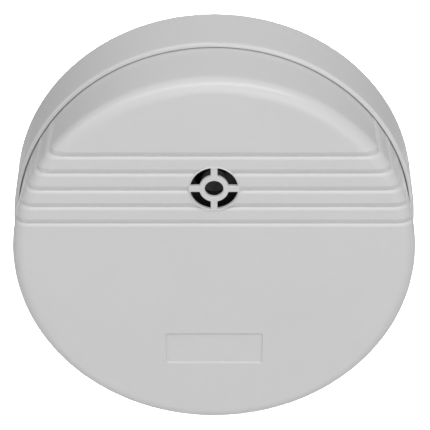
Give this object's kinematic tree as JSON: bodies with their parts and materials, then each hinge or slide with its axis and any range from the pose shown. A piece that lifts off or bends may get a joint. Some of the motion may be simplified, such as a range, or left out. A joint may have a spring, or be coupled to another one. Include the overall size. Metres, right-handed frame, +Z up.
{
  "type": "smoke detector",
  "caption": "Round battery smoke detector for a wall or ceiling, with a twist-off housing, a pull-off cover with shingle grooves and a sounder grille, a test button and a block battery.",
  "frame": {"origin": "centre of the mounting face, on the wall", "axes": "+Z up the wall, +Y into the wall, the front face looks toward -Y, +X to the right as seen from the front"},
  "size_m": [0.14, 0.0453, 0.14],
  "materials": {
    "cover": "fine satin texture",
    "housing": "fine satin texture",
    "plate": "matte",
    "black_plastic": "matte",
    "switch_plastic": "matte",
    "board": "satin solder mask",
    "steel": "satin",
    "brass": "satin",
    "ceramic": "matte",
    "optic_plastic": "polished",
    "copper": "enamelled copper winding",
    "resistor": "satin lacquer",
    "can_sleeve": "shrink sleeve",
    "lamp": "polished",
    "battery_jacket": "painted can",
    "red_sleeve": "satin",
    "black_sleeve": "satin"
  },
  "bodies": {
    "wall_plate": {"mounting_plate": "plate"},
    "housing": {"rear_housing": "housing", "circuit_board": "board", "board_screws": "steel", "chamber_base": "black_plastic", "chamber_cap": "black_plastic", "insect_screen": "steel", "infrared_emitter": "optic_plastic", "light_sensor": "optic_plastic", "horn_base": "black_plastic", "horn_cap": "black_plastic", "piezo_disc": "brass", "piezo_ceramic": "ceramic", "horn_contacts": "steel", "button_spring": "steel", "test_switch": "switch_plastic", "control_chip": "black_plastic", "chip_legs": "steel", "capacitors": "can_sleeve", "resistors": "resistor", "drive_coil": "copper", "status_lamp": "lamp", "terminal_block": "black_plastic", "battery_contacts": "steel", "lead_positive": "red_sleeve", "lead_negative": "black_sleeve"},
    "cover": {"front_cover": "cover", "sounder_grille": "cover"},
    "button": {"test_button": "black_plastic"},
    "plunger": {"switch_plunger": "black_plastic"},
    "battery": {"battery_case": "battery_jacket", "battery_terminals": "steel"}
  },
  "joints": [
    {"name": "housing_twist", "type": "hinge", "parent": "wall_plate", "child": "housing", "pos_m": [0, 0, 0], "axis": [0, -1, 0], "range_deg": [0, 25]},
    {"name": "cover_pull", "type": "slide", "parent": "housing", "child": "cover", "axis": [0, -1, 0], "range_m": [0, 0.04]},
    {"name": "button_press", "type": "slide", "parent": "housing", "child": "button", "axis": [0, 1, 0], "range_m": [0, 0.0012], "stiffness_N_per_m": 600, "springref_m": -0.001, "deforming": ["button_spring"]},
    {"name": "plunger_press", "type": "slide", "parent": "housing", "child": "plunger", "axis": [0, 1, 0], "range_m": [0, 0.0012]},
    {"name": "battery_slide", "type": "slide", "parent": "housing", "child": "battery", "axis": [-1, 0, 0], "range_m": [0, 0.0045]}
  ],
  "couplings": [
    {"joint": "plunger_press", "follows": "button_press", "ratio": 1}
  ]
}
